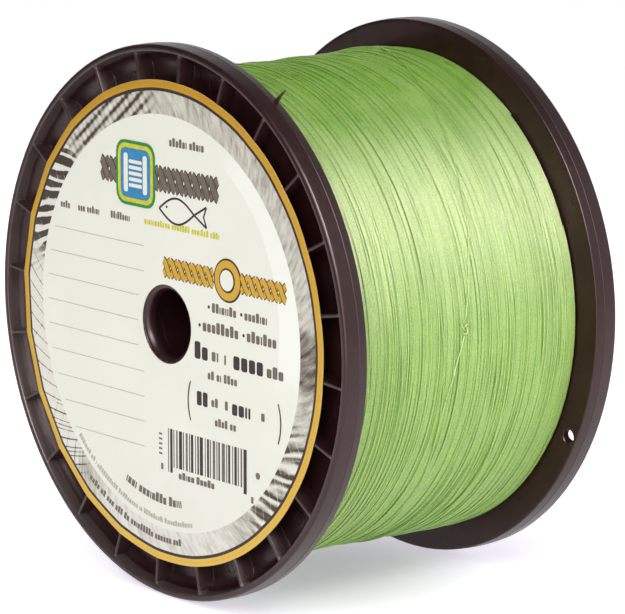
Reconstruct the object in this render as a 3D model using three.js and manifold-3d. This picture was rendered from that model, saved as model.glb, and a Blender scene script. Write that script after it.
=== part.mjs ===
// A bulk spool of braided fishing line: two ribbed moulded flanges on a drum, with an arbor
// tube down the middle, a round label on one flange and the line wound between them.
// Millimetres, +Z up. The spool's axis is Y, the labelled front flange faces -Y, and the
// origin is on the axis, midway between the two outer faces.
import * as THREE from "three";
import { mergeVertices } from "three/addons/utils/BufferGeometryUtils.js";
import Module from "manifold-3d";

const wasm = await Module();
wasm.setup();

// Driving dimensions
const FLANGE_RADIUS = 70;
const SPOOL_WIDTH = 88;
const FLANGE_THICKNESS = 6.8;
const WEB_THICKNESS = 1.5; // the flange's disc, on its line side
const RIM_WALL = 1.9;
const LIP_ROUND = 0.8; // rounding of the rim's outer front edge
const REAR_EDGE_ROUND = 0.3; // the small break of the rim's line-side edge
const RIB_COUNT = 24;
const RIB_THICKNESS = 1;
const RIB_PHASE = THREE.MathUtils.degToRad(10.5);
const RIB_RECESS = 0.9; // how far the ribs and hub lie behind the rim's face
const HUB_RADIUS = 13;
const BORE_RADIUS = 8.5;
const BORE_MOUTH_RADIUS = 9.6; // the bore widens to this at the hub's face
const BORE_MOUTH_DEPTH = 2.2;
const BORE_LIP_DEPTH = 3;
const ARBOR_INNER_RADIUS = 11;
const ARBOR_WALL = 1.5;
const DRUM_RADIUS = 48;
const DRUM_WALL = 2;
const COLLAR_WALL = 1.6; // the rings that centre the drum and the arbor tube
const DRUM_COLLAR_HEIGHT = 5;
const ARBOR_COLLAR_HEIGHT = 4;
const LABEL_RADIUS = 61.1;
const LABEL_HOLE_RADIUS = 10;
const LABEL_THICKNESS = 0.3;
const LABEL_RECESS = 0.3; // the label's face lies this far behind the rim's face
const PACK_RADIUS = 62.4;
const PACK_EDGE_DROP = 0.5; // the winding is a little lower where it meets each flange
const PACK_EDGE_WIDTH = 4;
const LINE_DIAMETER = 0.45;
const TAPE_THICKNESS = 0.3;
const TAPE_SPAN = THREE.MathUtils.degToRad(40);
const TAPE_WIDTH = 18;
const LINE_HOLE = { radius: 1.6, at: 67, angle: THREE.MathUtils.degToRad(-26.5) };
const GATE_TAB = { angle: THREE.MathUtils.degToRad(58.4), length: 3.4, lean: 0.9, tip: 0.35 };
const GAP = 0.3; // between touching pieces
const SEGMENTS = 72;
const LINE_SIDES = 8;

// Derived places
const OUTER_FACE = SPOOL_WIDTH / 2;
const INNER_FACE = OUTER_FACE - FLANGE_THICKNESS;
const PACK_HALF_WIDTH = INNER_FACE - GAP;
const LINE_LIFT = PACK_RADIUS + GAP + LINE_DIAMETER / 2; // centre of a turn lying on the winding
const FULL_TURN = 2 * Math.PI;

// Looks, as plain stand-ins for the finished materials
const PLASTIC = { color: 0x2d2326, roughness: 0.42, metalness: 0 };
const PAPER = { color: 0xe8e8de, roughness: 0.55, metalness: 0 };
const BRAID = { color: 0x96c85f, roughness: 0.6, metalness: 0 };
const TAPE = { color: 0xd9d2b8, roughness: 0.5, metalness: 0 };

function solidFrom(geometry) {
  const bare = geometry.clone();
  bare.deleteAttribute("normal");
  bare.deleteAttribute("uv");
  const merged = mergeVertices(bare, 1e-4);
  const vertProperties = merged.attributes.position.array;
  const triVerts = new Uint32Array(merged.index.array);
  return new wasm.Manifold(new wasm.Mesh({ numProp: 3, vertProperties, triVerts }));
}

function geometryFrom(solid) {
  const { vertProperties, triVerts } = solid.getMesh();
  const geometry = new THREE.BufferGeometry();
  geometry.setAttribute("position", new THREE.BufferAttribute(vertProperties, 3));
  geometry.setIndex(new THREE.BufferAttribute(triVerts, 1));
  geometry.computeVertexNormals();
  return geometry;
}

function piece(name, geometry, look) {
  const mesh = new THREE.Mesh(geometry, new THREE.MeshStandardMaterial(look));
  mesh.name = name;
  return mesh;
}

// A solid of revolution about the spool's axis, from a closed [radius, y] outline that runs
// anticlockwise. Its facets lie flat at the bottom, so the rims rest on flats.
function turned(outline) {
  const points = [...outline, outline[0]].map(([radius, y]) => new THREE.Vector2(radius, y));
  return new THREE.LatheGeometry(points, SEGMENTS, Math.PI / SEGMENTS, FULL_TURN);
}

// A plain ring between two radii and two heights along the axis.
function ring(inner, outer, low, high) {
  return turned([[inner, low], [outer, low], [outer, high], [inner, high]]);
}

// Points of a quarter round in the [radius, y] plane, from angle start to angle start + 90.
function quarterRound(radius, y, round, start) {
  const steps = 3;
  return Array.from({ length: steps + 1 }, (_, i) => {
    const turn = THREE.MathUtils.degToRad(start + (90 * i) / steps);
    return [radius + round * Math.cos(turn), y + round * Math.sin(turn)];
  });
}

// One flange's revolved body, with y measured inwards from its outer face at y = 0.
function flangeBody() {
  const across = 1 / Math.cos(Math.PI / SEGMENTS); // flats, not corners, lie at the full radius
  const rim = FLANGE_RADIUS * across;
  const floor = FLANGE_THICKNESS - WEB_THICKNESS;
  const drumSeat = DRUM_RADIUS - DRUM_WALL - GAP;
  const arborSeat = ARBOR_INNER_RADIUS + ARBOR_WALL + GAP;
  const face = FLANGE_THICKNESS;
  return turned([
    [BORE_MOUTH_RADIUS, RIB_RECESS],
    [HUB_RADIUS, RIB_RECESS],
    [HUB_RADIUS, floor],
    [FLANGE_RADIUS - RIM_WALL, floor],
    [FLANGE_RADIUS - RIM_WALL, 0],
    ...quarterRound(rim - LIP_ROUND, LIP_ROUND, LIP_ROUND, -90),
    ...quarterRound(rim - REAR_EDGE_ROUND, face - REAR_EDGE_ROUND, REAR_EDGE_ROUND, 0),
    [drumSeat, face],
    [drumSeat, face + DRUM_COLLAR_HEIGHT],
    [drumSeat - COLLAR_WALL, face + DRUM_COLLAR_HEIGHT],
    [drumSeat - COLLAR_WALL, face],
    [arborSeat + COLLAR_WALL, face],
    [arborSeat + COLLAR_WALL, face + ARBOR_COLLAR_HEIGHT],
    [arborSeat, face + ARBOR_COLLAR_HEIGHT],
    [arborSeat, face],
    [ARBOR_INNER_RADIUS, face],
    [ARBOR_INNER_RADIUS, RIB_RECESS + BORE_LIP_DEPTH],
    [BORE_RADIUS, RIB_RECESS + BORE_LIP_DEPTH],
    [BORE_RADIUS, RIB_RECESS + BORE_MOUTH_DEPTH],
  ]);
}

// One radial rib, sunk a little into the web, the hub and the rim so that they join.
function flangeRib(angle) {
  const sink = 0.4;
  const inner = HUB_RADIUS - sink;
  const outer = FLANGE_RADIUS - RIM_WALL + sink;
  const height = FLANGE_THICKNESS - WEB_THICKNESS - RIB_RECESS + sink;
  const rib = new THREE.BoxGeometry(outer - inner, height, RIB_THICKNESS);
  rib.translate((inner + outer) / 2, RIB_RECESS + height / 2, 0);
  return rib.rotateY(-angle);
}

// A concentric stiffening ring behind the drum's seat, as tall as the ribs.
function flangeRing() {
  const outer = DRUM_RADIUS;
  const sunkFloor = FLANGE_THICKNESS - WEB_THICKNESS / 2;
  return ring(outer - RIB_THICKNESS, outer, RIB_RECESS, sunkFloor);
}

// The flange with its ribs, in the front flange's place.
function flangeSolid() {
  let solid = solidFrom(flangeBody()).add(solidFrom(flangeRing()));
  for (let i = 0; i < RIB_COUNT; i += 1) {
    solid = solid.add(solidFrom(flangeRib(RIB_PHASE + (i * FULL_TURN) / RIB_COUNT)));
  }
  return solid;
}

// The torn-off gate: a thorn of plastic standing out of the rim at its line-side edge.
function gateTab() {
  const base = 0.75;
  const sink = 0.6;
  const thorn = new THREE.CylinderGeometry(GATE_TAB.tip, base, GATE_TAB.length + sink, 8);
  thorn.scale(1, 1, 0.7);
  thorn.translate(0, (GATE_TAB.length - sink) / 2, 0);
  thorn.rotateZ(-Math.PI / 2);
  thorn.applyMatrix4(new THREE.Matrix4().makeShear(GATE_TAB.lean / GATE_TAB.length, 0, 0, 0, 0, 0));
  thorn.translate(FLANGE_RADIUS, FLANGE_THICKNESS - base - REAR_EDGE_ROUND, 0);
  return thorn.rotateY(-GATE_TAB.angle);
}

// The small hole through the web, close inside the rim, that the line's end can be tucked into.
function lineHole() {
  const over = 0.05;
  const depth = WEB_THICKNESS + 2 * over;
  const drill = new THREE.CylinderGeometry(LINE_HOLE.radius, LINE_HOLE.radius, depth, 16);
  drill.translate(LINE_HOLE.at, INNER_FACE + depth / 2 - over, 0);
  return drill.rotateY(-LINE_HOLE.angle);
}

function frontFlange() {
  const solid = flangeSolid().add(solidFrom(gateTab()));
  return geometryFrom(solid).translate(0, -OUTER_FACE, 0);
}

// The rear flange is the front one's moulding turned half round, with the hole for the line.
function rearFlange() {
  const turnedRound = geometryFrom(flangeSolid()).translate(0, -OUTER_FACE, 0).rotateZ(Math.PI);
  return geometryFrom(solidFrom(turnedRound).subtract(solidFrom(lineHole())));
}

// The line as a body: a ring round the drum, a little lower at both flanges.
function lineWinding() {
  const inner = DRUM_RADIUS + TAPE_THICKNESS + 2 * GAP;
  const edge = PACK_RADIUS - PACK_EDGE_DROP;
  const shoulder = PACK_HALF_WIDTH - PACK_EDGE_WIDTH;
  return turned([
    [inner, -PACK_HALF_WIDTH],
    [edge, -PACK_HALF_WIDTH],
    [PACK_RADIUS, -shoulder],
    [PACK_RADIUS, shoulder],
    [edge, PACK_HALF_WIDTH],
    [inner, PACK_HALF_WIDTH],
  ]);
}

// The strip of tape that holds the line's inner end to the drum, under the first turns.
function startTape() {
  const steps = 12;
  const inner = DRUM_RADIUS + GAP;
  const arc = (radius, from, to) =>
    Array.from({ length: steps + 1 }, (_, i) => {
      const turn = THREE.MathUtils.lerp(from, to, i / steps);
      return new THREE.Vector2(radius * Math.cos(turn), radius * Math.sin(turn));
    });
  const outline = new THREE.Shape([
    ...arc(inner, TAPE_SPAN / 2, -TAPE_SPAN / 2),
    ...arc(inner + TAPE_THICKNESS, -TAPE_SPAN / 2, TAPE_SPAN / 2),
  ]);
  const strip = new THREE.ExtrudeGeometry(outline, { depth: TAPE_WIDTH, bevelEnabled: false });
  return strip.translate(0, 0, -TAPE_WIDTH / 2).rotateX(-Math.PI / 2);
}

// A point on the winding, from its angle up from +X, its place along the axis and its radius.
function onWinding([degrees, y], radius = LINE_LIFT) {
  const angle = THREE.MathUtils.degToRad(degrees);
  return new THREE.Vector3(radius * Math.cos(angle), y, radius * Math.sin(angle));
}

// A stretch of line along a smooth curve through points on the winding.
function lineAlong(points, steps) {
  const section = new THREE.Shape();
  section.absarc(0, 0, LINE_DIAMETER / 2, 0, FULL_TURN);
  return new THREE.ExtrudeGeometry(section, {
    extrudePath: new THREE.CatmullRomCurve3(points),
    steps,
    curveSegments: LINE_SIDES,
    bevelEnabled: false,
  });
}

// The last turn: from under the rear flange over the top of the winding down to the knot.
const LAST_TURN = [
  [127, 35], [117, 33.6], [108, 31.8], [99, 29.3], [90, 26.4], [82, 23.4], [74, 20.4], [66, 17.6],
  [58, 14.8], [50, 12.2], [42, 10], [35, 8.2], [28, 6.5], [21, 4.7], [15, 3.1], [9, 1.7], [4.6, 0.6],
];

// The place of the knot, and the free end from there down across the winding.
const KNOT = [2.8, 0.1];
const TAG_END = [[1.2, 0], [-3.5, -1.5], [-8.6, -3.2], [-13.8, -4.3], [-19.5, -4.9], [-25.9, -4.6]];

// The half hitch that stops the line from unwinding, as one small loop pulled tight.
function lineKnot() {
  const loopRadius = 0.5;
  const strandRadius = 0.26;
  const slant = 0.5;
  const loop = new THREE.TorusGeometry(loopRadius, strandRadius, 8, 14);
  loop.scale(1, 1.4, 1).rotateX(slant).rotateY(Math.PI / 2);
  const place = onWinding(KNOT, LINE_LIFT + strandRadius);
  return loop.translate(place.x, place.y, place.z);
}

const arborEnd = INNER_FACE - GAP;
const labelFace = -OUTER_FACE + LABEL_RECESS;

const spool = new THREE.Group();
spool.add(
  piece("front_flange", frontFlange(), PLASTIC),
  piece("rear_flange", rearFlange(), PLASTIC),
  piece("drum", ring(DRUM_RADIUS - DRUM_WALL, DRUM_RADIUS, -arborEnd, arborEnd), PLASTIC),
  piece(
    "arbor_tube",
    ring(ARBOR_INNER_RADIUS, ARBOR_INNER_RADIUS + ARBOR_WALL, -arborEnd, arborEnd),
    PLASTIC,
  ),
  piece(
    "front_label",
    ring(LABEL_HOLE_RADIUS, LABEL_RADIUS, labelFace, labelFace + LABEL_THICKNESS),
    PAPER,
  ),
  piece("start_tape", startTape(), TAPE),
  piece("line_winding", lineWinding(), BRAID),
  piece("line_last_turn", lineAlong(LAST_TURN.map((point) => onWinding(point)), 64), BRAID),
  piece("line_knot", lineKnot(), BRAID),
  piece("line_tag_end", lineAlong(TAG_END.map((point) => onWinding(point)), 26), BRAID),
);

export default spool;
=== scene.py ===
import math
import random

import bmesh
import bpy
import numpy as np
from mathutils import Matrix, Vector


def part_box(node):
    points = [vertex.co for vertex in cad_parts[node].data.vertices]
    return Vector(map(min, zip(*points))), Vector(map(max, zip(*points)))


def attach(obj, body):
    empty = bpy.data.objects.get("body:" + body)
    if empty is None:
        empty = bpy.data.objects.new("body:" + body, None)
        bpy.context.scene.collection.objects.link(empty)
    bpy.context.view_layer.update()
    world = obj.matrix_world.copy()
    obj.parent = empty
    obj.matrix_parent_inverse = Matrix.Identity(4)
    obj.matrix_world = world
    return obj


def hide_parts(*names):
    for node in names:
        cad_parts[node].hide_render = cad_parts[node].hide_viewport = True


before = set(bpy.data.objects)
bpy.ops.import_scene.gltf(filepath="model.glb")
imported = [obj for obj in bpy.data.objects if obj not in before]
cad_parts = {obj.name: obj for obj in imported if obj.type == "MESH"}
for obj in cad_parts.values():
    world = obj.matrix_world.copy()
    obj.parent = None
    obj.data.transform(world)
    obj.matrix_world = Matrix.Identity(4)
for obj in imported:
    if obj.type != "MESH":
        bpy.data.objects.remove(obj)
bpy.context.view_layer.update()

MM = 0.001
FULL_TURN = 2 * math.pi
SEED = 11

# Places taken from the frame
FLANGE_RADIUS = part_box("rear_flange")[1][0] / MM
OUTER_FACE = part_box("rear_flange")[1][1] / MM
LABEL_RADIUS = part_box("front_label")[1][0] / MM
ARBOR_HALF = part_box("arbor_tube")[1][1] / MM
PACK_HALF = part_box("line_winding")[1][1] / MM

# The flange moulding. Depths are measured from the rim's outer face.
FLANGE_THICKNESS = 6.8
WEB_THICKNESS = 1.5
WEB_DEPTH = FLANGE_THICKNESS - WEB_THICKNESS
RIM_WALL = 1.9
LIP_ROUND = 0.8
WALL_FILLET = 4
RIB_COUNT = 24
RIB_PITCH = FULL_TURN / RIB_COUNT
RIB_PHASE = math.radians(4.5)
FRONT_RIB_PHASE = (math.pi - RIB_PHASE) % RIB_PITCH
RIB_RECESS = 0.45
RIB_PROFILE = (
    # distance from a rib's middle, depth below its crest
    (0, 0), (0.3, 0), (0.4, 0.03), (0.46, 0.14), (0.5, WEB_DEPTH - 1.1), (0.55, WEB_DEPTH - 0.72),
    (0.64, WEB_DEPTH - 0.53), (0.8, WEB_DEPTH - RIB_RECESS),
)
HUB_RADIUS = 13
BORE_RADIUS = 8.5
BORE_MOUTH_RADIUS = 9.6
BORE_MOUTH_DEPTH = 2.2
BORE_LIP_DEPTH = 3
ARBOR_INNER = 11
ARBOR_WALL = 1.5
DRUM_RADIUS = 48
DRUM_WALL = 2
COLLAR_WALL = 1.6
COLLAR_HEIGHT = 5
ARBOR_COLLAR_HEIGHT = 4
GAP = 0.3
LINE_HOLE = {"radius": 1.8, "at": 67, "angle": math.radians(-26.5)}
PAD = {"radius": 1.9, "at": 62.2}
GATE_TAB = {"angle": math.radians(58.4), "length": 3.4, "lean": 0.9}

# The label and its print, in the label's own plane: x to the right and z up
LABEL_HOLE = 10
LABEL_THICKNESS = 0.2
LABEL_FACE = -OUTER_FACE + 0.25
LABEL_SAG = 0.42
SAG_START = 49
CREAM_RADIUS = 52.6
OUTLINE_RADIUS = 58.3
GOLD_RADIUS = 59.1
CRESCENT = {"x": 0.35, "z": 3.97, "radius": 44.25}
INK_LIFT = 0.025
INK_ROOT = -0.02

# The line. CONTACT is half the width that a strand rests on, and SETTLED how much of its
# height stays above that. A turn is laid with OVERLAP steps of the turn before it.
LINE_RADIUS = 0.235
BRAID_PITCH = 0.8
CONTACT = 0.15
SETTLED = 0.80
PACK_INNER = 48.9
CORE_RADIUS = 61.25
BULGE = 0.55
REAR_SWELL = 0.9
TURN_STEPS = 96
FIELD_STEP = 0.05
TIGHTENINGS = 14
OVERLAP = 6
KNOT = {"degrees": 2.8, "y": 0.1, "size": 0.38, "depth": 0.34, "lift": 0.28, "strand": 0.23}


# ------------ meshes


def place(name, data):
    """A new object in the scene, for a mesh, a light or a camera."""
    obj = bpy.data.objects.new(name, data)
    bpy.context.scene.collection.objects.link(obj)
    return obj


def new_object(name, verts, faces, materials, face_materials=None, smooth=True):
    """A mesh object from vertices in metres."""
    mesh = bpy.data.meshes.new(name)
    mesh.from_pydata([tuple(v) for v in verts], [], faces)
    for material in materials:
        mesh.materials.append(material)
    if face_materials is not None:
        mesh.polygons.foreach_set("material_index", face_materials)
    mesh.polygons.foreach_set("use_smooth", [smooth] * len(mesh.polygons))
    mesh.update()
    return place(name, mesh)


def face_outwards(obj):
    """Turns every face outwards and keeps the steep edges crisp."""
    bm = bmesh.new()
    bm.from_mesh(obj.data)
    bmesh.ops.recalc_face_normals(bm, faces=bm.faces)
    limit = math.radians(32)
    for edge in bm.edges:
        edge.smooth = edge.calc_face_angle(0) < limit
    bm.to_mesh(obj.data)
    bm.free()
    return obj


def ring_grid(rows, columns):
    """Quads of a grid of rows by columns of vertices that closes on itself both ways."""
    faces = []
    for i in range(rows):
        k = (i + 1) % rows
        for j in range(columns):
            m = (j + 1) % columns
            faces.append((i * columns + j, i * columns + m, k * columns + m, k * columns + j))
    return faces


def round_the_axis(radius, y, turn):
    return (radius * math.cos(turn) * MM, y * MM, radius * math.sin(turn) * MM)


def even_turns(count):
    return [FULL_TURN * j / count for j in range(count)]


def turned(name, outline, segments, material):
    """A solid of revolution about the spool's axis, from a closed (radius, y) outline."""
    verts = [round_the_axis(r, y, turn) for r, y in outline for turn in even_turns(segments)]
    return face_outwards(new_object(name, verts, ring_grid(len(outline), segments), [material]))


def capped(name, rings):
    """A plastic solid through rings of equally many points, with flat ends."""
    sides = len(rings[0])
    verts = [point for ring in rings for point in ring]
    last = len(verts) - sides
    faces = ring_grid(len(rings), sides)[:last]
    faces.append(tuple(range(sides)))
    faces.append(tuple(reversed(range(last, len(verts)))))
    return face_outwards(new_object(name, verts, faces, [PLASTIC]))


def arc(cx, cy, radius, start, end, steps):
    """Points of a circular arc from angle start to end, in degrees."""
    turns = [math.radians(start + (end - start) * i / steps) for i in range(steps + 1)]
    return [(cx + radius * math.cos(t), cy + radius * math.sin(t)) for t in turns]


def join(objects):
    """Joins objects into the first one, which keeps its name."""
    bpy.ops.object.select_all(action="DESELECT")
    for obj in objects:
        obj.select_set(True)
    bpy.context.view_layer.objects.active = objects[0]
    bpy.ops.object.join()
    return objects[0]


def unit(vectors):
    return vectors / np.linalg.norm(vectors, axis=1)[:, None]


def tube(name, path, radii, sides, material, tones):
    """A closed tube along points in millimetres, flattened a little onto the winding.

    radii is (across, outwards). tones holds one number per point and goes to the attribute
    "tone"; the UV map holds the length along the tube in millimetres and the turn round it.
    """
    path = np.asarray(path, float)
    along = unit(np.gradient(path, axis=0))
    outward = path * (1.0, 0.0, 1.0)
    outward = unit(outward - (outward * along).sum(1)[:, None] * along)
    across = np.cross(along, outward)
    turns = FULL_TURN * (np.arange(sides) + 0.5) / sides
    ring = (
        radii[0] * np.cos(turns)[None, :, None] * across[:, None]
        + radii[1] * np.sin(turns)[None, :, None] * outward[:, None]
    )
    verts = ((path[:, None] + ring) * MM).reshape(-1, 3)
    count = len(path)
    i, j = np.meshgrid(np.arange(count - 1), np.arange(sides), indexing="ij")
    m = (j + 1) % sides
    here, ahead = i * sides, (i + 1) * sides
    quads = np.stack([here + j, ahead + j, ahead + m, here + m], -1).reshape(-1, 4)
    length = np.concatenate([[0], np.linalg.norm(np.diff(path, axis=0), axis=1).cumsum()])
    u = np.stack([length[i], length[i + 1], length[i + 1], length[i]], -1).ravel()
    v = (np.stack([j, j, j + 1, j + 1], -1) / sides).ravel()
    first = np.arange(sides)
    last = (count - 1) * sides + first[::-1]

    mesh = bpy.data.meshes.new(name)
    mesh.vertices.add(len(verts))
    mesh.vertices.foreach_set("co", verts.ravel())
    mesh.loops.add(quads.size + 2 * sides)
    mesh.loops.foreach_set("vertex_index", np.concatenate([quads.ravel(), first, last]))
    mesh.polygons.add(len(quads) + 2)
    starts = np.concatenate([np.arange(len(quads)) * 4, [quads.size, quads.size + sides]])
    mesh.polygons.foreach_set("loop_start", starts)
    mesh.update(calc_edges=True)
    u = np.concatenate([u, np.zeros(sides), np.full(sides, length[-1])])
    v = np.concatenate([v, np.zeros(2 * sides)])
    uv = mesh.uv_layers.new(name="along")
    uv.data.foreach_set("uv", np.stack([u, v], 1).ravel())
    attribute = mesh.attributes.new("tone", "FLOAT", "POINT")
    attribute.data.foreach_set("value", np.repeat(tones, sides).astype(np.float32))
    mesh.materials.append(material)
    mesh.polygons.foreach_set("use_smooth", [True] * len(mesh.polygons))
    mesh.validate()
    return place(name, mesh)


# ------------ materials


class Output:
    """One output of a node. Sums, products and so on add the nodes that work them out."""

    def __init__(self, graph, socket):
        self.graph, self.socket = graph, socket

    def __add__(self, other):
        return self.graph.math("ADD", self, other)

    def __sub__(self, other):
        return self.graph.math("SUBTRACT", self, other)

    def __rsub__(self, other):
        return self.graph.math("SUBTRACT", other, self)

    def __mul__(self, other):
        return self.graph.math("MULTIPLY", self, other)

    def __truediv__(self, other):
        return self.graph.math("DIVIDE", self, other)


class Graph:
    """A node tree, with short calls to add nodes. Except for node, they give Outputs."""

    def __init__(self, tree):
        self.tree = tree

    def node(self, kind, inputs=(), **settings):
        made = self.tree.nodes.new("ShaderNode" + kind)
        for setting, value in settings.items():
            setattr(made, setting, value)
        for socket, value in dict(inputs).items():
            if isinstance(value, Output):
                self.tree.links.new(value.socket, made.inputs[socket])
            else:
                made.inputs[socket].default_value = value
        return made

    def add(self, kind, inputs=(), output=0, **settings):
        return Output(self, self.node(kind, inputs, **settings).outputs[output])

    def math(self, operation, *values):
        return self.add("Math", enumerate(values), operation=operation)

    def absolute(self, value):
        return self.math("ABSOLUTE", value)

    def clamp(self, value, low, high):
        return self.math("MINIMUM", self.math("MAXIMUM", value, low), high)

    def split(self, vector):
        """The three parts of a vector."""
        return [Output(self, part) for part in self.node("SeparateXYZ", {0: vector}).outputs]

    def length(self, vector):
        return self.add("VectorMath", {0: vector}, "Value", operation="LENGTH")

    def from_centre(self, x, z):
        """The distance of (x, z) from (0, 0)."""
        return self.length(self.add("CombineXYZ", {"X": x, "Z": z}))

    def noise(self, vector, scale, detail=3.0, roughness=0.55):
        inputs = {"Vector": vector, "Scale": scale, "Detail": detail, "Roughness": roughness}
        return self.add("TexNoise", inputs, "Fac")


class Material(Graph):
    """A material's node tree, round its Principled shader."""

    def __init__(self, name, **sockets):
        self.material = bpy.data.materials.new(name)
        self.material.use_nodes = True
        super().__init__(self.material.node_tree)
        self.shader = self.tree.nodes["Principled BSDF"]
        for socket, value in sockets.items():
            self.shader.inputs[socket.replace("_", " ")].default_value = value
        self.at = self.add("TexCoord", output="Object")

    def paint(self, factor, stops, socket="Base Color"):
        """Drives an input of the shader by a ramp of (position, colour); a number is a grey."""
        ramp = self.node("ValToRGB", {"Fac": factor})
        elements = ramp.color_ramp.elements
        while len(elements) < len(stops):
            elements.new(0.5)
        for element, (position, color) in zip(elements, stops):
            element.position = position
            element.color = (*(color if isinstance(color, tuple) else (color,) * 3), 1.0)
        self.tree.links.new(ramp.outputs["Color"], self.shader.inputs[socket])

    def bump(self, height, distance, strength):
        inputs = {"Height": height, "Distance": distance, "Strength": strength}
        normal = self.node("Bump", inputs).outputs["Normal"]
        self.tree.links.new(normal, self.shader.inputs["Normal"])


def moulded_plastic():
    """Brownish black polystyrene: satin, faintly mottled, with fine handling scuffs, and with a painted
    highlight: a paler band along the inside of the rim wall, near its front face."""
    tint = (1.0, 0.84, 0.82, 1.0)
    n = Material("moulded_plastic", Specular_IOR_Level=0.46, IOR=1.5, Specular_Tint=tint)
    x, y, z = n.split(n.at)
    wall = (FLANGE_RADIUS - RIM_WALL - 0.3) * MM
    near_wall = 1.0 - n.absolute(n.from_centre(x, z) - wall) / (0.7 * MM)
    near_face = (n.absolute(y) - (OUTER_FACE - 3.4) * MM) / (0.8 * MM)
    # Painted highlight: the last, paler ramp stop is laid on the inside of the rim wall near its front
    # face, standing in for light on the wall.
    painted_wall_light = n.clamp(n.math("MINIMUM", near_wall * 2.0, near_face), 0.0, 1.0)
    shade = n.noise(n.at, 90.0) + painted_wall_light * 0.6
    browns = [(0.3, (0.015, 0.0034, 0.0038)), (0.75, (0.023, 0.0068, 0.0068))]
    n.paint(shade, browns + [(1.0, (0.058, 0.042, 0.039))])
    stretched = n.add("Mapping", {"Vector": n.at, "Scale": (1.0, 14.0, 1.0)})
    scuffs = n.noise(stretched, 260.0, 6.0, 0.7)
    n.paint(scuffs, [(0.35, 0.27), (0.72, 0.44)], "Roughness")
    n.bump(n.noise(n.at, 2600.0, 2.0) + scuffs * 0.6, 0.00001, 0.5)
    return n.material


def label_stock(name, roughness=0.42):
    """Coated paper with a faint fibre grain, still to be painted."""
    n = Material(name, Roughness=roughness, Specular_IOR_Level=0.3)
    n.bump(n.noise(n.at, 1400.0), 0.00001, 0.35)
    return n


def paper(name, stops, roughness=0.42):
    n = label_stock(name, roughness)
    n.paint(n.noise(n.at, 55.0, 4.0), stops)
    return n.material


def sector(n, angle, centre, half_width):
    """One inside a sector of the label round its centre angle, falling to nought at its edges."""
    edge = math.cos(math.radians(half_width))
    near = n.math("COSINE", angle - math.radians(centre))
    return n.clamp((near - edge) / (0.55 * (1 - edge)), 0.0, 1.0)


def label_cream():
    """The label's cream middle, with a paler crescent along its upper right edge."""
    n = label_stock("label_cream")
    x, _, z = n.split(n.at)
    off_centre = n.from_centre(x - CRESCENT["x"] * MM, z - CRESCENT["z"] * MM)
    outside = n.math("GREATER_THAN", off_centre, CRESCENT["radius"] * MM)
    pale = outside * sector(n, n.math("ARCTAN2", z, x), 25, 42)
    creams = [(0.3, (0.695, 0.690, 0.605)), (0.7, (0.72, 0.715, 0.635)), (1.0, (0.77, 0.77, 0.70))]
    n.paint(n.noise(n.at, 55.0, 4.0) + pale * 0.5, creams)
    return n.material


def gold_ink():
    """Printed gold: redder towards the top, paler along both edges of the ring."""
    n = Material("gold_ink", Roughness=0.5, Specular_IOR_Level=0.2)
    x, _, z = n.split(n.at)
    middle = (GOLD_RADIUS + LABEL_RADIUS) / 2 * MM
    off_middle = n.absolute(n.from_centre(x, z) - middle)
    rim_light = n.math("MINIMUM", off_middle * 170.0, 0.2)
    speckle = n.noise(n.at, 3200.0, 2.0) * 0.10
    shade = 0.36 - z * 6.0 + speckle + rim_light
    n.paint(shade, [(0.0, (0.42, 0.215, 0.014)), (0.5, (0.55, 0.315, 0.028)), (1.0, (0.70, 0.47, 0.085))])
    n.bump(n.noise(n.at, 1500.0, 2.0), 0.00001, 0.3)
    return n.material


def streaked_print():
    """The label's grey border print: soft rays, dark blocks at the left, softer bars at the lower
    right, dashes on a plaid at the upper left, and whiskers on white at the lower left."""
    n = label_stock("streaked_print")
    x, _, z = n.split(n.at)
    radius = n.from_centre(x, z)
    angle = n.math("ARCTAN2", z, x)
    leaning = angle - radius * 12.0
    crossing = angle + radius * 14.0
    rays_at = n.add("CombineXYZ", {"X": leaning, "Y": radius * 6.0})
    rays = n.noise(rays_at, 34.0, 5.0, 0.65)
    broad = n.noise(rays_at, 13.0, 2.0, 0.4)

    def wave(of, rate):
        return n.math("SINE", of * rate)

    def hairlines(of, rate, sharpness=60.0):
        return n.math("POWER", n.absolute(wave(of, rate)), sharpness)

    def within(centre, half_width):
        return sector(n, angle, centre, half_width)

    hard = within(154, 22) * 2.2 + 1.0
    bars = n.clamp((wave(leaning + broad * 0.10, 92.0) - 0.35) * hard, -1.0, 1.0)
    at_sides = n.math("MAXIMUM", within(152, 18), within(-36, 19) * 0.5)
    blocks = (bars + hairlines(crossing, 46.0) * 0.5) * (broad * 0.85) * at_sides
    weft = wave(x * 0.78 + z * 0.62, 3100.0) * 0.05 + 0.04
    dashes = hairlines(x * -0.62 + z * 0.78, 1150.0, 4.0) * broad
    plaid = (weft - dashes * 0.55) * within(117, 24)
    lattice = hairlines(crossing, 43.0) + hairlines(leaning, 29.0) * 0.3
    white = (0.24 - lattice * 0.42) * within(199, 32)
    whiskers = hairlines(crossing, 64.0) + hairlines(leaning, 41.0) * 0.5
    whiskers = whiskers * within(220, 12) * -0.45
    pale = within(268, 34) * 0.12
    grey = within(-1, 9) * -0.16
    shade = rays * 0.62 + 0.23 + plaid + blocks + white + whiskers + pale + grey
    darks = [(0.30, (0.045, 0.028, 0.020)), (0.42, (0.22, 0.195, 0.155))]
    n.paint(shade, darks + [(0.52, (0.43, 0.405, 0.345)), (0.68, (0.66, 0.64, 0.57))])
    return n.material


def printed_ink(name, color):
    """Flat offset ink with a faint uneven lay."""
    n = Material(name, Roughness=0.45, Specular_IOR_Level=0.3)
    light = tuple(min(1.0, c * 1.18 + 0.004) for c in color)
    dark = tuple(c * 0.88 for c in color)
    n.paint(n.noise(n.at, 900.0), [(0.3, dark), (0.7, light)])
    return n.material


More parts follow.
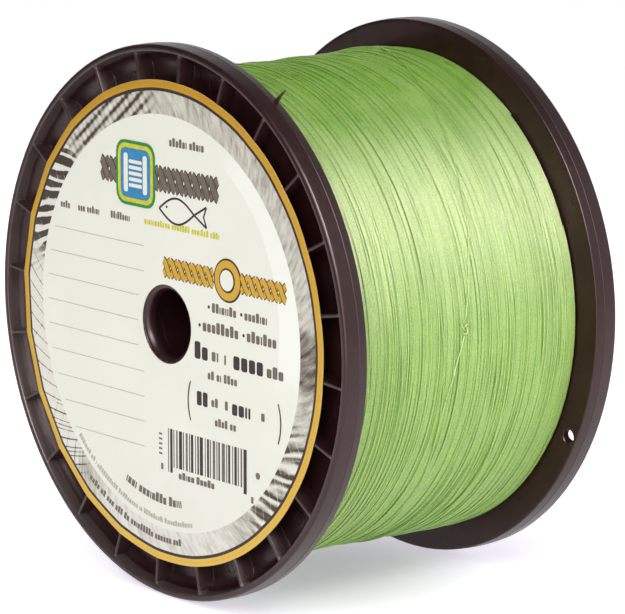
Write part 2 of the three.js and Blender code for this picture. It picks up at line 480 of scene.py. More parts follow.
def braided_line(name, light):
    """Lime green braid: eight carriers as a fine herringbone along each strand, satin sheen."""
    n = Material(name, Specular_IOR_Level=1.0, IOR=1.95, Specular_Tint=(1.0, 0.84, 0.76, 1.0))
    along, around, _ = n.split(n.add("UVMap", output="UV", uv_map="along"))
    picks = along * (FULL_TURN / BRAID_PITCH)
    carriers = around * (4 * FULL_TURN)
    crossed = n.math("SINE", picks + carriers) * n.math("SINE", picks - carriers)
    weave = n.math("MULTIPLY_ADD", crossed, 0.5, 0.5)
    tone = n.add("Attribute", output="Fac", attribute_name="tone")
    slow = n.noise(n.at, 130.0)
    fine = n.noise(n.at, 2100.0, 2.0)
    shade = tone * 0.55 + slow * 0.36 + weave * 0.26 + (fine - 0.5) * 2.8
    greens = [(0.15, (0.100, 0.325, 0.006)), (0.50, (0.154, 0.386, 0.013)), (0.90, (0.226, 0.448, 0.030))]
    # light scales every green; the copy made with less than one paints shade into the colour.
    n.paint(shade, [(position, tuple(c * light for c in green)) for position, green in greens])
    n.paint(slow, [(0.3, 0.34), (0.7, 0.48)], "Roughness")
    n.bump(weave + fine * 1.5, 0.00005, 0.9)
    return n.material


def floor_paint():
    """A matt white sweep that glows, with a painted shadow: its glow is weak and bluish next to the
    object and full further away.
    """
    n = Material("pale_floor", Roughness=0.8, Specular_IOR_Level=0.1, Emission_Strength=1.0)
    n.paint(n.noise(n.at, 3.0), [(0.2, (0.56, 0.56, 0.565)), (0.8, (0.60, 0.60, 0.605))])
    # Painted shadow: the glow falls to about a third, tinted bluish, close round the object.
    glow_and_painted_shadow = [(0.072, (0.35, 0.33, 0.39)), (0.086, (0.72, 0.685, 0.77)), (0.13, (0.95, 0.935, 0.97))]
    n.paint(n.length(n.at), glow_and_painted_shadow + [(0.19, 1.0)], "Emission Color")
    return n.material


PLASTIC = moulded_plastic()
BRAID = braided_line("braided_line", 1.0)
# A darker copy of the same line: painted shade for the core and the turns that lie under others.
BRAID_SHADED = braided_line("braided_line_shaded", 0.86)
PAPER = label_cream()
PAPER_EDGE = paper("label_edge", [(0.3, (0.42, 0.30, 0.10)), (0.7, (0.50, 0.37, 0.14))])
TAPE = paper("starter_tape", [(0.3, (0.62, 0.55, 0.36)), (0.7, (0.72, 0.66, 0.47))], 0.6)
GOLD = gold_ink()
STREAKS = streaked_print()
INK = printed_ink("ink_dark", (0.024, 0.014, 0.011))
INK_GREY = printed_ink("ink_grey", (0.40, 0.375, 0.31))
INK_MID = printed_ink("ink_mid", (0.13, 0.105, 0.08))
INK_YELLOW = printed_ink("ink_yellow", (0.50, 0.48, 0.02))
INK_BLUE = printed_ink("ink_blue", (0.02, 0.19, 0.38))
INK_GREEN = printed_ink("ink_green", (0.012, 0.20, 0.045))


# ------------ flanges


def rib_columns():
    """The flange's columns: for each, a function of radius that gives its angle, and its
    distance from the middle of the nearest rib (None out on the floor)."""
    half = [offset for offset, _ in RIB_PROFILE]
    edge = half[-1]
    columns = []
    for k in range(RIB_COUNT):
        start = RIB_PHASE + k * RIB_PITCH
        for s in [-s for s in reversed(half[1:])] + half:
            columns.append((lambda r, a=start, s=s: a + math.asin(s / r), abs(s)))
        for part in (0.2, 0.4, 0.6, 0.8):
            middle, lean = start + RIB_PITCH * part, 1 - 2 * part
            columns.append((lambda r, a=middle, b=lean: a + b * math.asin(edge / r), None))
    return columns


def rib_depth(offset):
    """How deep a rib's surface lies behind the rim's face at a distance from its middle."""
    if offset is None:
        return WEB_DEPTH
    return RIB_RECESS + float(np.interp(offset, *zip(*RIB_PROFILE)))


def foot(radius, direction):
    """Rows of the small fillet at the foot of a wall, from the wall to the floor."""
    rows = ((0.1, WEB_DEPTH - 0.5), (0.25, WEB_DEPTH - 0.15), (0.6, WEB_DEPTH))
    return [(radius + direction * step, depth) for step, depth in rows]


def flange_rows():
    """The flange's closed (radius, depth) outline. The first rows are the ribbed side."""
    rim = FLANGE_RADIUS - RIM_WALL
    top = RIB_RECESS
    mouth = BORE_MOUTH_RADIUS
    hub = [(mouth, top + 0.2), (mouth + 0.06, top + 0.06), (mouth + 0.2, top)]
    hub += [(HUB_RADIUS - 0.4, top), (HUB_RADIUS - 0.1, top + 0.1), (HUB_RADIUS, top + 0.4)]
    hub += foot(HUB_RADIUS, 1) + [(r, WEB_DEPTH) for r in (20, 28, 36, 43)]
    drum = DRUM_RADIUS
    stiffener = foot(drum - 1, -1)[::-1]
    stiffener += [(drum - 1, top + 0.3), (drum - 0.85, top), (drum - 0.15, top), (drum, top + 0.3)]
    stiffener += foot(drum, 1)
    outer_floor = [(r, WEB_DEPTH) for r in (53, 57.5, 61)]
    fillet_foot = rim - WALL_FILLET - 0.12
    for turn in np.radians(np.linspace(0, 90, 10)):
        rise = WALL_FILLET * (1 - math.cos(turn))
        outer_floor.append((fillet_foot + WALL_FILLET * math.sin(turn), WEB_DEPTH - rise))
    wall = [(rim - 0.04, 0.9), (rim, 0.42), (rim + 0.06, 0.2), (rim + 0.2, 0.05), (rim + 0.36, 0)]
    lip = arc(FLANGE_RADIUS - LIP_ROUND - 0.12, LIP_ROUND, LIP_ROUND, -90, 0, 7)
    parting = FLANGE_THICKNESS * 0.62
    groove = ((-0.01, -0.14), (-0.09, -0.06), (-0.09, 0.04), (-0.02, 0.14))
    band = [(FLANGE_RADIUS + deep, parting + across) for deep, across in groove]
    face = FLANGE_THICKNESS
    back = arc(FLANGE_RADIUS - 0.55, face - 0.35, 0.35, 0, 90, 4)
    inner_face = [(r, face) for r in (68.6, 65.5, 62.5, 56)]
    seat = DRUM_RADIUS - DRUM_WALL - GAP
    arbor_seat = ARBOR_INNER + ARBOR_WALL + GAP
    end, arbor_end = face + COLLAR_HEIGHT, face + ARBOR_COLLAR_HEIGHT
    lip_end = top + BORE_LIP_DEPTH
    inside = [
        (seat, face), (seat, end - 0.3), (seat - 0.3, end), (seat - COLLAR_WALL, end),
        (seat - COLLAR_WALL, face), (30, face), (arbor_seat + COLLAR_WALL, face),
        (arbor_seat + COLLAR_WALL, arbor_end), (arbor_seat, arbor_end), (arbor_seat, face),
        (ARBOR_INNER - 0.4, face), (ARBOR_INNER - 0.4, lip_end + 0.2), (ARBOR_INNER - 0.6, lip_end),
        (BORE_RADIUS + 0.25, lip_end), (BORE_RADIUS, lip_end - 0.25),
    ]
    for turn in np.radians(np.linspace(90, 9, 10)):
        narrowed = (mouth - BORE_RADIUS) * math.sin(turn)
        deep = (BORE_MOUTH_DEPTH - 0.2) * (1 - math.cos(turn))
        inside.append((mouth - narrowed, top + 0.2 + deep))
    return hub + stiffener + outer_floor + wall, lip + band + back + inner_face + inside


def flange(name, side):
    """One flange: side is -1 for the front one and 1 for the rear one."""
    ribbed, rest = flange_rows()
    columns = rib_columns()
    verts = []
    for index, (radius, depth) in enumerate(ribbed + rest):
        for angle, offset in columns:
            deep = min(depth, rib_depth(offset)) if index < len(ribbed) else depth
            x, y, z = round_the_axis(radius, OUTER_FACE - deep, angle(radius))
            verts.append((x, y, z) if side > 0 else (-x, -y, z))
    body = new_object(name, verts, ring_grid(len(ribbed) + len(rest), len(columns)), [PLASTIC])
    return face_outwards(body)


def peg(name, at, angle, outline, segments, side):
    """A solid turned about a line parallel to the axis, from (radius, depth) pairs."""
    centre = Vector(round_the_axis(at, 0, angle))
    rings = []
    for radius, depth in outline:
        y = side * (OUTER_FACE - depth) * MM
        around = [round_the_axis(radius, 0, turn) for turn in even_turns(segments)]
        rings.append([(centre.x + x, y, centre.z + z) for x, _, z in around])
    return capped(name, rings)


def ejector_pads(side):
    """The marks of the mould's ejector pins, one in every second bay of the channel: each a
    shallow dish inside a raised edge."""
    radius = PAD["radius"]
    crest, height = WEB_DEPTH - 0.18, 0.68
    edge = ((-0.42, 0.3), (-0.34, 0.05), (-0.2, 0), (-0.08, 0.05), (0, 0.3), (0, 1))
    outline = [(radius + step, crest + height * part) for step, part in edge]
    pads = []
    for k in range(0, RIB_COUNT, 2):
        angle = RIB_PHASE + (k + 0.5) * RIB_PITCH
        if side < 0:
            angle = math.pi - angle
        pads.append(peg("pad", PAD["at"], angle, outline, 28, side))
    return pads


def gate_tab():
    """The torn-off gate, a bent thorn of plastic on the front rim."""
    angle = GATE_TAB["angle"]
    out = Vector((math.cos(angle), 0, math.sin(angle)))
    across = Vector((-math.sin(angle), 0, math.cos(angle)))
    root = Vector((0, -OUTER_FACE + FLANGE_THICKNESS - 0.75, 0)) + out * (FLANGE_RADIUS - 0.1)
    sections = [(-0.5, 0.85, 0.5), (0, 0.8, 0.48), (1, 0.62, 0.4), (2, 0.5, 0.3), (2.8, 0.42, 0.26)]
    rings = []
    for height, wide, thick in sections + [(GATE_TAB["length"], 0.22, 0.16)]:
        bend = GATE_TAB["lean"] * (height / GATE_TAB["length"]) ** 2
        centre = root + out * height + Vector((0, bend, 0)) - across * 0.12 * height
        ring = []
        for turn in even_turns(10):
            point = centre + across * thick * math.sin(turn) + Vector((0, wide * math.cos(turn), 0))
            ring.append(point * MM)
        rings.append(ring)
    return capped("gate_tab", rings)


def cut_line_hole(body):
    """Drills the flared hole for the line's end through the rear flange's web."""
    face, radius = FLANGE_THICKNESS, LINE_HOLE["radius"]
    before_fillet = face - 5.7
    outline = [(radius, before_fillet), (radius, face - 0.4), (radius + 0.1, face - 0.12)]
    outline += [(radius + 0.5, face + 0.3)]
    drill = peg("drill", LINE_HOLE["at"], LINE_HOLE["angle"], outline, 32, 1)
    cut = body.modifiers.new("hole", "BOOLEAN")
    cut.operation = "DIFFERENCE"
    cut.object = drill
    cut.solver = "EXACT"
    bpy.context.view_layer.objects.active = body
    bpy.ops.object.modifier_apply(modifier=cut.name)
    bpy.data.objects.remove(drill)
    return face_outwards(body)


def make_flanges():
    front = join([flange("front_flange_moulding", -1), *ejector_pads(-1), gate_tab()])
    rear = cut_line_hole(flange("rear_flange_moulding", 1))
    return front, join([rear, *ejector_pads(1)])


def make_arbor():
    """The tube down the middle, with small chamfers at its ends."""
    inner, outer = ARBOR_INNER, ARBOR_INNER + ARBOR_WALL
    end = ARBOR_HALF
    outline = [(inner + 0.1, -end), (outer - 0.3, -end), (outer, -end + 0.3), (outer, end - 0.3)]
    outline += [(outer - 0.3, end), (inner + 0.1, end), (inner, end - 0.1), (inner, -end + 0.1)]
    return turned("arbor_tube_moulding", outline, 128, PLASTIC)


# ------------ label


def label_sag(radius, angle):
    """How far the label droops into the channel between two ribs, growing to its edge and
    more on its left half."""
    part = ((angle - FRONT_RIB_PHASE) / RIB_PITCH) % 1.0
    reach = max(0.0, (radius - SAG_START) / (LABEL_RADIUS - SAG_START))
    slack = LABEL_SAG * (0.66 - 0.34 * math.cos(angle))
    return slack * 4 * part * (1 - part) * reach**1.5


def make_label():
    """The round sticker: cream disc, grey border, dark outline and gold edge."""
    materials = [PAPER, STREAKS, INK, GOLD, PAPER_EDGE]
    cream, border, outline, gold, edge = range(5)
    rim, back = LABEL_RADIUS, LABEL_THICKNESS
    # radius, distance behind the face, and what covers the label from there to the next row
    rows = [(r, 0, cream) for r in (LABEL_HOLE, LABEL_HOLE + 0.4, 20, 32, 44, SAG_START)]
    rows += [(r, 0, border) for r in (CREAM_RADIUS, 54.5, 56.5)]
    rows += [(OUTLINE_RADIUS, 0, outline), (GOLD_RADIUS, 0, gold), (59.9, 0, gold)]
    rows += [(rim - 0.12, 0, edge), (rim, 0.06, edge)]
    rows += [(r, back, edge) for r in (rim, 58, 54, 44, 28)] + [(LABEL_HOLE, back, cream)]
    segments = RIB_COUNT * 20
    verts, indices = [], []
    for radius, behind, material in rows:
        indices += [material] * segments
        for turn in even_turns(segments):
            angle = FRONT_RIB_PHASE + turn
            y = LABEL_FACE + behind + label_sag(radius, angle)
            verts.append(round_the_axis(radius, y, angle))
    faces = ring_grid(len(rows), segments)
    return face_outwards(new_object("front_label_sheet", verts, faces, materials, indices))


class Print:
    """Collects the label's printed shapes as thin closed prisms that follow its surface."""

    def __init__(self):
        self.random = random.Random(SEED)
        self.verts, self.faces, self.indices = [], [], []
        self.materials = [INK, INK_MID, INK_GREY, GOLD, INK_YELLOW, INK_BLUE, INK_GREEN, PAPER]

    def raise_points(self, points, lift):
        """Adds points of the label's plane above its face and again just inside it. lift counts
        layers of ink."""
        base = len(self.verts)
        for height in (lift * INK_LIFT, INK_ROOT):
            for x, z in points:
                y = LABEL_FACE - height + label_sag(math.hypot(x, z), math.atan2(z, x))
                self.verts.append((x * MM, y * MM, z * MM))
        return base

    def add_faces(self, faces, material):
        self.faces += faces
        self.indices += [self.materials.index(material)] * len(faces)

    def polygon(self, points, material, lift=1):
        """A flat shape from points in the label's plane, in millimetres."""
        count = len(points)
        top = self.raise_points(points, lift)
        low = top + count
        faces = [tuple(range(top, low)), tuple(reversed(range(low, low + count)))]
        for i in range(count):
            k = (i + 1) % count
            faces.append((top + i, low + i, low + k, top + k))
        self.add_faces(faces, material)

    def ribbon(self, left, right, material, lift=1):
        """A closed band between two lists of points of equal length."""
        count = len(left)
        top = self.raise_points((*left, *right), lift)
        low = top + 2 * count
        corners = (top, low, low + count, top + count)
        faces = [corners[::-1], tuple(corner + count - 1 for corner in corners)]
        for a, b in zip(corners, (*corners[1:], top)):
            faces += [(b + i, b + i + 1, a + i + 1, a + i) for i in range(count - 1)]
        self.add_faces(faces, material)

    def stroke(self, points, width, material, lift=1):
        """A line of even width through points."""
        line = np.asarray(points, float)
        along = unit(np.gradient(line, axis=0))
        aside = np.stack([-along[:, 1], along[:, 0]], 1) * width / 2
        self.ribbon(line + aside, line - aside, material, lift)

    def bar(self, x, z, width, height, material, bend=None):
        """A rectangle. bend, if given, moves each of its corners."""
        corners = [(x, z), (x + width, z), (x + width, z + height), (x, z + height)]
        self.polygon([bend(*c) for c in corners] if bend else corners, material)

    def block(self, x, z, width, height, round_off, material, lift=1):
        """A rectangle with rounded corners."""
        r = min(round_off, width / 2, height / 2)
        left, right = x + r, x + width - r
        low, high = z + r, z + height - r
        points = []
        for k, (cx, cz) in enumerate(((right, low), (right, high), (left, high), (left, low))):
            points += arc(cx, cz, r, 90 * k - 90, 90 * k, 4)
        self.polygon(points, material, lift)

    def word(self, x, z, letters, height, material, bend=None, width=0.62):
        """A stand-in for a word: one plain block for each letter. Returns where it ends."""
        for _ in range(letters):
            kind = self.random.random()
            tall = height if kind > 0.68 else height * 0.74
            span = (width - 0.13) * height if kind > 0.16 else 0.2 * height
            if bend:
                self.bar(x, z, span, tall, material, bend)
            else:
                self.block(x, z, span, tall, 0.14 * height, material)
            x += span + 0.13 * height
        return x

    def words(self, x, z, lengths, height, material, bend=None, width=0.62):
        for letters in lengths:
            x = self.word(x, z, letters, height, material, bend, width) + 0.36 * height

    def build(self):
        parts = (self.verts, self.faces, self.materials, self.indices)
        return face_outwards(new_object("front_label_print", *parts, smooth=False))


def round_arc(radius, start):
    """Bends flat print along an arc about the label's centre: x runs along it from the angle."""

    def bend(x, z):
        turn = math.radians(start) + x / radius
        return ((radius - z) * math.cos(turn), (radius - z) * math.sin(turn))

    return bend


def log_table(ink):
    """Nine ruled lines to write on, under three column heads."""
    for i in range(9):
        z = 18.5 - 6.42 * i
        left = 2.4 - math.sqrt(CREAM_RADIUS**2 - z * z)
        right = -11.6 if abs(z) < 11 else -9.2
        ink.bar(left, z, right - left, 0.2, INK_GREY)
    for x, lengths in ((-44.2, [4]), (-36.7, [3, 6]), (-22.8, [9])):
        ink.words(x, 23.9, lengths, 1.9, INK_MID, width=0.55)


def plait(ink, start, end, z, swing, pitch, width, fill, edge):
    """Two strands that cross over and under each other, each with a darker edge."""
    crossings = int(round((end - start) / pitch))
    pitch = (end - start) / crossings
    for k in range(crossings):
        for sign in (1, -1):
            over = (k % 2 == 0) == (sign > 0)
            lift = 3.2 if over else 1.4
            places = np.linspace(k, k + 1, 9)
            strand = [(start + p * pitch, z + sign * swing * math.cos(math.pi * p)) for p in places]
            ink.stroke(strand, width + 0.55, edge, lift)
            ink.stroke(strand, width, fill, lift + 0.8)


def fish(ink, x, z, length, width):
    """A plain fish in outline, facing left."""
    half = length * 0.17
    body = [(x + length * 0.74 * t, z + half * math.sin(math.pi * t)) for t in np.linspace(0, 1, 15)]
    belly = [(px, 2 * z - pz) for px, pz in body]
    tail = x + length
    ink.stroke(body + [(tail, z - half * 0.8)], width, INK)
    ink.stroke(belly + [(tail, z + half * 0.8)], width, INK, 1.3)
    ink.stroke([(tail, z - half * 0.8), (tail - length * 0.06, z), (tail, z + half * 0.8)], width, INK)
    ink.block(x + length * 0.14, z + half * 0.1, width * 1.3, width * 1.3, width, INK)


def emblem(ink):
    """A plain badge with a spool on it, over a plait, with an outlined fish below."""
    plait(ink, -26.6, 21.0, 36.4, 2.3, 3.4, 1.9, INK_MID, INK)
    badge = ((0, 3.4, INK_GREEN, 5), (0.8, 2.8, INK_YELLOW, 5.6), (1.9, 2.0, INK_BLUE, 6.2))
    for inset, round_off, fill, lift in badge:
        width, height = 16 - 2 * inset, 16.4 - 2 * inset
        ink.block(-20.2 + inset, 28.2 + inset, width, height, round_off, fill, lift)
    for x in (-17.0, -9.1):
        ink.block(x, 31.5, 1.7, 9.8, 0.6, PAPER, 6.8)
    for i in range(5):
        ink.block(-14.9, 32.9 + 1.5 * i, 5.4, 0.9, 0.4, PAPER, 6.8)
    fish(ink, -2.6, 29.0, 19.0, 0.55)
    ink.words(-8.8, 24.2, [11, 7, 7, 4], 1.7, INK_YELLOW)
    ink.words(1.6, 45.0, [6, 5], 2.2, INK_MID, width=0.6)


def product_band(ink):
    """The product's line: a gold plait with a dark edge on each side of a gold ring."""
    plait(ink, -1.0, 19.0, 14.4, 1.8, 2.9, 1.5, GOLD, INK)
    plait(ink, 29.8, 47.2, 14.6, 1.8, 2.9, 1.5, GOLD, INK)
    for radius, material, lift in ((5.5, INK, 1), (5.0, GOLD, 2), (3.1, INK, 3), (2.6, PAPER, 4)):
        ink.polygon(arc(24.4 + 0.1 * (4 - lift), 14.6, radius, 0, 351, 39), material, lift)
    for x, z, height in ((18.4, 5.8, 2.4), (14.7, 0.6, 2.9)):
        for letters in (8, 7):
            ink.block(x - 1.7, z + height * 0.3, 0.9, 0.9, 0.45, INK)
            x = ink.word(x, z, letters, height, INK_MID) + 3.0


def sizes_text(ink):
    """The two size lines, each over a small one, the second in round brackets."""
    # x, z, letters, height, width of a letter
    first = [(11.4, -6.7, 2, 4.4, 0.66), (18.2, -6.4, 2, 3.2, 0.62), (23.2, -6.6, 1, 3.4, 0.62)]
    first += [(26.8, -7.1, 4, 4.6, 0.66), (39.8, -7.0, 3, 3.0, 0.75)]
    second = [(12.2, -18.4, 2, 3.6, 0.66), (18.0, -17.9, 2, 2.3, 0.62), (23.4, -17.9, 1, 2.3, 0.62)]
    second += [(26.2, -18.6, 4, 3.8, 0.68), (37.6, -18.2, 1, 2.0, 0.8)]
    below = ((16.6, -11.2, [2, 2, 4], 2.2), (19.4, -22.6, [4, 2], 2.1))
    for words, small in zip((first, second), below):
        for x, z, letters, height, width in words:
            ink.word(x, z, letters, height, INK if height > 3.5 else INK_MID, width=width)
        ink.words(*small, INK_MID)
    for x, facing, middle in ((8.4, 1, 180), (45.4, -1, 0)):
        outer = arc(x + facing * 12.6, -17.8, 12.6, middle - 24, middle + 24, 12)
        inner = arc(x + facing * 13.4, -17.8, 12.9, middle + 22, middle - 22, 12)
        ink.polygon(outer + inner, INK)


def stripes(ink):
    """A block of upright stripes in a repeating rhythm, which encodes nothing."""
    rhythm = [0.35, 0.95, 0.35, 0.6, 1.25, 0.35, 0.8]
    x, i = 0.0, 0
    while x < 31.2:
        wide = rhythm[i % len(rhythm)]
        tall = 11.2 if x < 1.6 or x > 29.4 else 9.7
        ink.bar(0.3 + x, -26.4 - tall, wide, tall, INK if i % 3 else INK_MID)
        x += wide + (0.55, 0.4, 0.75)[i % 3]
        i += 1
    ink.words(4.6, -38.7, [5, 5], 1.9, INK_MID, width=0.78)
    ink.bar(-2.6, -37.4, 0.9, 1.6, INK_MID)
    ink.bar(33.6, -39.4, 0.9, 1.6, INK_MID)
    for i in range(5):
        ink.bar(-3.4, -28.6 - 1.25 * i, 1.3, 0.5, INK_MID)
    ink.block(35.4, -33.0, 1.7, 1.7, 0.8, INK_MID)


def foot_text(ink):
    """Three lines of small print that follow the label's edge."""
    ink.words(0, 0, [4, 8, 5], 2.4, INK_MID, round_arc(46.4, -112), 0.66)
    ink.words(0, 0, [7, 2, 1, 10, 9, 2, 9, 13], 1.4, INK_GREY, round_arc(51.2, -137), 0.70)
    ink.words(0, 0, [4, 2, 3, 3, 2, 9, 6, 3], 1.8, INK_MID, round_arc(56.2, -126), 0.64)


def make_print():
    ink = Print()
    for draw in (log_table, emblem, product_band, sizes_text, stripes, foot_text):
        draw(ink)
    return ink.build()


# ------------ winding


class Winding:
    """Lays turns of line on the drum one after another. field holds the radius of the surface
    so far, by angle and by place along the axis, and every turn rests on what lies below."""

    def __init__(self, radius, seed):
        self.random = np.random.default_rng(seed)
        self.half = PACK_HALF + 0.15
        self.count = int(2 * self.half / FIELD_STEP) + 1
        self.y = np.linspace(-self.half, self.half, self.count)
        turns = FULL_TURN * np.arange(TURN_STEPS) / TURN_STEPS
        lumps = np.zeros((TURN_STEPS, self.count))
        for wave, size in ((21.0, 0.13), (9.5, 0.10), (5.2, 0.08), (3.1, 0.05)):
            phase = self.random.uniform(0, FULL_TURN, 2)
            sway = phase[0] + 0.9 * np.sin(turns + phase[1])[:, None]
            lumps += size * np.sin(self.y[None] * FULL_TURN / wave + sway)
        below = (1 - np.sin(turns + 0.3)) / 2
        lumps += BULGE * below[:, None] * np.exp(-(((self.y + 28) / 5) ** 2))[None]
        lumps += REAR_SWELL * np.clip(self.y / self.half, 0, 1)[None]
        edge = np.clip((self.half - np.abs(self.y)) / 2.5, 0, 1)
        self.field = radius + lumps - 0.35 * (1 - edge[None]) ** 2
        reach = int(CONTACT / FIELD_STEP)
        self.offsets = np.arange(-reach, reach + 1)
        self.height = np.sqrt(LINE_RADIUS**2 - (self.offsets * FIELD_STEP) ** 2) * SETTLED
        self.sagitta = radius * (1 - math.cos(FULL_TURN / TURN_STEPS))

    def cells(self, y):
        """The field's columns under a strand at each place y."""
        middle = np.clip(np.rint((y + self.half) / FIELD_STEP).astype(int), 0, self.count - 1)
        return np.clip(middle[:, None] + self.offsets[None], 0, self.count - 1)

    def rest(self, steps, y):
        """Radius of a strand's centre, resting on the surface and pulled tight."""
        under = self.field[steps[:, None], self.cells(y)]
        low = (under + self.height[None]).max(1)
        centre = low.copy()
        for _ in range(TIGHTENINGS):
            padded = np.concatenate([centre[:1], centre, centre[-1:]])
            centre = np.maximum(low, (padded[:-2] + padded[2:]) / 2 - self.sagitta)
        return centre

    def press(self, steps, y, centre):
        """Raises the surface to a strand that has been laid on it."""
        rows = np.repeat(steps[:, None], len(self.offsets), 1)
        np.maximum.at(self.field, (rows, self.cells(y)), centre[:, None] + self.height[None])

    def run(self, start_step, y):
        """Lays a whole run of line through the places y, one per angular step."""
        total = len(y)
        centres = np.empty(total)
        for begin in range(0, total, TURN_STEPS):
            end = min(begin + TURN_STEPS, total)
            first = max(0, begin - OVERLAP)
            steps = (start_step + np.arange(first, end)) % TURN_STEPS
            centre = self.rest(steps, y[first:end])
            centres[begin:end] = centre[begin - first :]
            self.press(steps[begin - first :], y[begin:end], centres[begin:end])
        smooth = self.smooth(centres, 3)
        turn = FULL_TURN * (start_step + np.arange(total)) / TURN_STEPS
        return np.stack([smooth * np.cos(turn), y, smooth * np.sin(turn)], 1)

    @staticmethod
    def smooth(values, reach):
        kernel = np.hanning(reach + 2)[1:-1]
        padded = np.pad(values, reach // 2, mode="edge")
        return np.convolve(padded, kernel / kernel.sum(), mode="valid")

    def wander(self, total, size, knot_steps):
        """A slow random sway along the line, with a fresh value every few steps."""
        knots = self.random.normal(0, size, total // knot_steps + 3)
        sway = np.interp(np.arange(total) / knot_steps, np.arange(len(knots)), knots)
        return self.smooth(sway, 2 * (knot_steps // 2) + 1)

    def traverse(self, turns, pitch, spread, gaps, start, direction):
        """Places along the axis of turns laid side by side, with a gap after a few of them."""
        pitches = pitch * np.clip(self.random.normal(1, spread, turns), 0.3, None)
        chance, widest = gaps
        opened = self.random.random(turns) < chance
        pitches = pitches + opened * self.random.uniform(0.3, 1, turns) * widest
        at = np.arange(turns * TURN_STEPS) / TURN_STEPS
        travel = np.interp(at, np.arange(turns + 1), np.concatenate([[0], np.cumsum(pitches)]))
        return start + direction * travel

    @staticmethod
    def between_flanges(y):
        """Turns a run back where it meets a flange."""
        limit = PACK_HALF - LINE_RADIUS + 0.05
        folded = np.mod(y + limit, 4 * limit)
        return np.where(folded < 2 * limit, folded - limit, 3 * limit - folded)

    def tones(self, total, spread):
        """A slowly changing lightness along the line."""
        return np.clip(0.5 + self.wander(total, spread, TURN_STEPS // 3), 0, 1)


LAYERS = (
    # name, turns, pitch, its spread, (chance and width of gaps), sway, steps of sway, start,
    # direction along the axis
    ("line_lower_turns", 157, 0.468, 0.02, (0.0, 0.0), 0.03, 14, -36.6, 1),
    ("line_upper_turns", 151, 0.470, 0.045, (0.10, 0.20), 0.075, 13, 36.6, -1),
    ("line_top_turns", 38, 1.9, 0.55, (0.0, 0.0), 0.30, 30, -36.4, 1),
    ("line_crossing_turns", 6, 11.0, 0.5, (0.0, 0.0), 1.8, 24, 30.0, -1),
)


def make_winding():
    """The core body and the layers of turns that show, each one long strand."""
    winding = Winding(CORE_RADIUS, SEED)
    end, full = CORE_RADIUS - 0.9, CORE_RADIUS - 0.15
    outline = [
        (PACK_INNER, -PACK_HALF), (end, -PACK_HALF), (full, -PACK_HALF + 2), (full, 0),
        (full + REAR_SWELL, PACK_HALF - 2), (end + REAR_SWELL, PACK_HALF), (PACK_INNER, PACK_HALF),
    ]
    # The core and the lowest turns take the darker copy of the line's material, which is painted shade.
    pieces = [turned("line_core", outline, 192, BRAID_SHADED)]
    for name, turns, pitch, spread, gaps, sway, sway_steps, start, direction in LAYERS:
        y = winding.traverse(turns, pitch, spread, gaps, start, direction)
        y = winding.between_flanges(y + winding.wander(len(y), sway, sway_steps))
        path = winding.run(7 * len(pieces), y)
        radii = (LINE_RADIUS * 1.17, LINE_RADIUS * 0.96)
        material = BRAID_SHADED if name == "line_lower_turns" else BRAID
        pieces.append(tube(name, path, radii, 6, material, winding.tones(len(y), 0.24)))
    return winding, pieces


# The places of the line's end on the winding: degrees up from +X, and y.
LAST_TURN = [
    (127, 35), (117, 33.6), (108, 31.8), (99, 29.3), (90, 26.4), (82, 23.4), (74, 20.4), (66, 17.6),
    (58, 14.8), (50, 12.2), (42, 10), (35, 8.2), (28, 6.5), (21, 4.7), (15, 3.1), (9, 1.7), (4.6, 0.6),
]
TAG_END = [(1.2, 0), (-3.5, -1.5), (-8.6, -3.2), (-13.8, -4.3), (-19.5, -4.9), (-25.9, -4.6)]


def smooth_curve(points):
    """A Catmull-Rom curve through points, as a list of points."""
    per_span = 12
    points = np.asarray(points, float)
    padded = np.concatenate([[2 * points[0] - points[1]], points, [2 * points[-1] - points[-2]]])
    out = []
    for a, b, c, d in zip(padded, padded[1:], padded[2:], padded[3:]):
        for t in np.arange(per_span) / per_span:
            square = (2 * a - 5 * b + 4 * c - d) * t**2
            cube = (3 * b - a - 3 * c + d) * t**3
            out.append(0.5 * (2 * b + (c - a) * t + square + cube))
    return np.array(out + [points[-1]])


def lay_loose(winding, points):
    """The path of a strand through (degrees, y) points, lying on the finished winding."""
    line = smooth_curve(points)
    turn = np.radians(line[:, 0])
    steps = np.rint(turn / FULL_TURN * TURN_STEPS).astype(int) % TURN_STEPS
    under = winding.field[steps[:, None], winding.cells(line[:, 1])].max(1)
    raw = under + LINE_RADIUS * 0.9
    kernel = np.ones(9) / 9
    for _ in range(2):
        raw = np.maximum(np.convolve(np.pad(raw, 4, mode="edge"), kernel, mode="valid"), raw - 0.08)
    return np.stack([raw * np.cos(turn), line[:, 1], raw * np.sin(turn)], 1)


def knot_curve(tag_path):
    """The half hitch, a small trefoil where the free end leaves the last turn."""
    turn = math.radians(KNOT["degrees"])
    radius = float(np.hypot(tag_path[0][0], tag_path[0][2])) + KNOT["lift"]
    size = KNOT["size"]
    t = FULL_TURN * np.arange(73) / 72
    inwards = KNOT["depth"] * np.sin(3 * t)
    across = size * (np.sin(t) + 2 * np.sin(2 * t))
    upwards = size * 1.25 * (np.cos(t) - 2 * np.cos(2 * t))
    x, z = radius * math.cos(turn), radius * math.sin(turn)
    return np.stack([x - inwards, KNOT["y"] + across, z + upwards], 1)


def loose_strand(name, path, radius):
    # The loose strands take a fixed tone of 0.85, lighter than most turns of the same line: a painted
    # highlight.
    return tube(name, path, (radius, radius), 10, BRAID, np.full(len(path), 0.85))


def make_line_end(winding):
    """The last turn, the half hitch and the free end, all lying on the winding."""
    last_path = lay_loose(winding, LAST_TURN)
    tag_path = lay_loose(winding, TAG_END)
    last = loose_strand("line_last_turn_strand", last_path, LINE_RADIUS)
    tag = loose_strand("line_tag_end_strand", tag_path, LINE_RADIUS)
    knot = loose_strand("line_knot_strand", knot_curve(tag_path), KNOT["strand"])
    return last, knot, tag, tag_path


# ------------ assembly

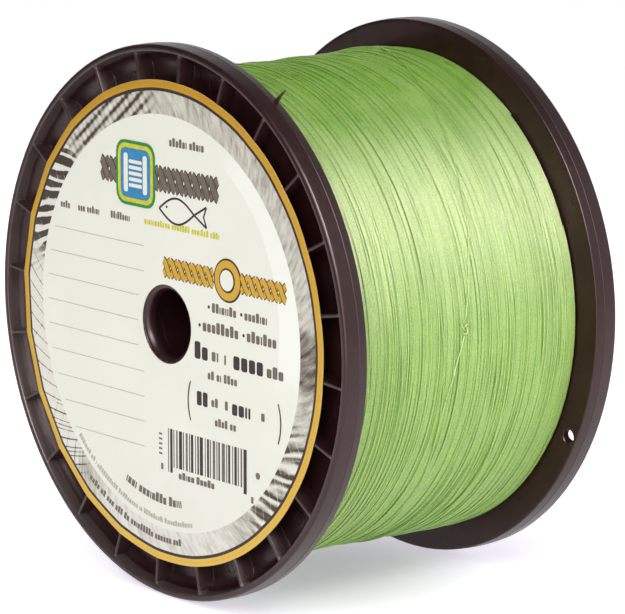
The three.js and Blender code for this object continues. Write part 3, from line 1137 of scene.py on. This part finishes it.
front_flange, rear_flange = make_flanges()
arbor = make_arbor()
label = make_label()
label_print = make_print()
winding, line_pieces = make_winding()
last_turn, knot, tag_end, tag_path = make_line_end(winding)
mouldings = (front_flange, rear_flange, arbor)
lines = (*line_pieces, last_turn, knot, tag_end)

for piece in (*mouldings, label, label_print, *lines):
    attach(piece, "root")
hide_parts("front_flange")
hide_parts("rear_flange")
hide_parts("arbor_tube")
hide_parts("front_label")
for piece in line_pieces:
    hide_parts("line_winding")
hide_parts("line_last_turn")
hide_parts("line_knot")
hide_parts("line_tag_end")

for node, material in (("drum", PLASTIC), ("start_tape", TAPE)):
    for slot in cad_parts[node].material_slots:
        slot.material = material

tag_length = float(np.linalg.norm(np.diff(tag_path, axis=0), axis=1).sum()) * MM


# ------------ floor, light and camera


def area_light(name, at, size, power, gloss_only=False):
    """A rectangular light that faces the middle of the spool."""
    light = bpy.data.lights.new(name, "AREA")
    light.shape = "RECTANGLE"
    light.size, light.size_y = size
    light.energy = power
    obj = place(name, light)
    obj.location = at
    obj.rotation_euler = (-Vector(at)).to_track_quat("-Z", "Y").to_euler()
    obj.visible_diffuse = not gloss_only


def make_floor():
    """A round white floor, as wide as the surround needs it to be."""
    reach, level = 0.7, -FLANGE_RADIUS * MM
    rim = [(reach * math.cos(turn), reach * math.sin(turn), level) for turn in even_turns(96)]
    floor = new_object("floor", rim, [tuple(range(len(rim)))], [floor_paint()])


def make_world():
    """A surround that is seen as plain white. As a light it is bright behind the spool, but
    not high up, and dim elsewhere."""
    world = bpy.data.worlds.new("studio")
    world.use_nodes = True
    bpy.context.scene.world = world
    n = Graph(world.node_tree)
    n.tree.nodes.clear()
    _, y, z = n.split(n.add("TexCoord", output="Generated"))
    behind = n.add("MapRange", {0: y, 1: -0.15, 2: 0.35})
    low = n.add("MapRange", {0: z, 1: 0.80, 2: 0.40})
    level = n.add("MapRange", {0: behind * low, 3: 0.10, 4: 0.90})
    lit = n.add("Background", {"Color": (0.98, 0.99, 1.0, 1.0), "Strength": level})
    seen = n.add("Background", {"Color": (1.0, 1.0, 1.0, 1.0), "Strength": 1.0})
    camera_ray = n.add("LightPath", output="Is Camera Ray")
    n.node("OutputWorld", {0: n.add("MixShader", {0: camera_ray, 1: lit, 2: seen})})


def make_camera():
    azimuth, elevation = math.radians(50.57), math.radians(11.06)
    distance = 1.038
    aim = Vector((0.0018, 0.0018, -0.0010))
    level = math.cos(elevation)
    away = Vector((math.sin(azimuth) * level, -math.cos(azimuth) * level, math.sin(elevation)))
    camera = bpy.data.cameras.new("camera")
    camera.sensor_width = 36
    camera.lens = 234
    obj = place("camera", camera)
    obj.location = aim + away * distance
    obj.rotation_euler = (-away).to_track_quat("-Z", "Y").to_euler()
    bpy.context.scene.camera = obj


make_floor()
make_world()
area_light("key", (0.72, -1.12, 0.88), (0.95, 0.95), 15)
area_light("side", (1.15, -0.32, 1.06), (0.42, 0.42), 8)
area_light("front", (1.25, -0.92, -0.02), (1.3, 0.6), 4.5)
area_light("side_gleam", (1.15, -0.32, 1.06), (0.8, 0.8), 52, gloss_only=True)
area_light("front_gleam", (1.25, -0.92, 0.10), (1.3, 1.3), 12, gloss_only=True)
make_camera()
bpy.context.scene.view_settings.view_transform = "Standard"
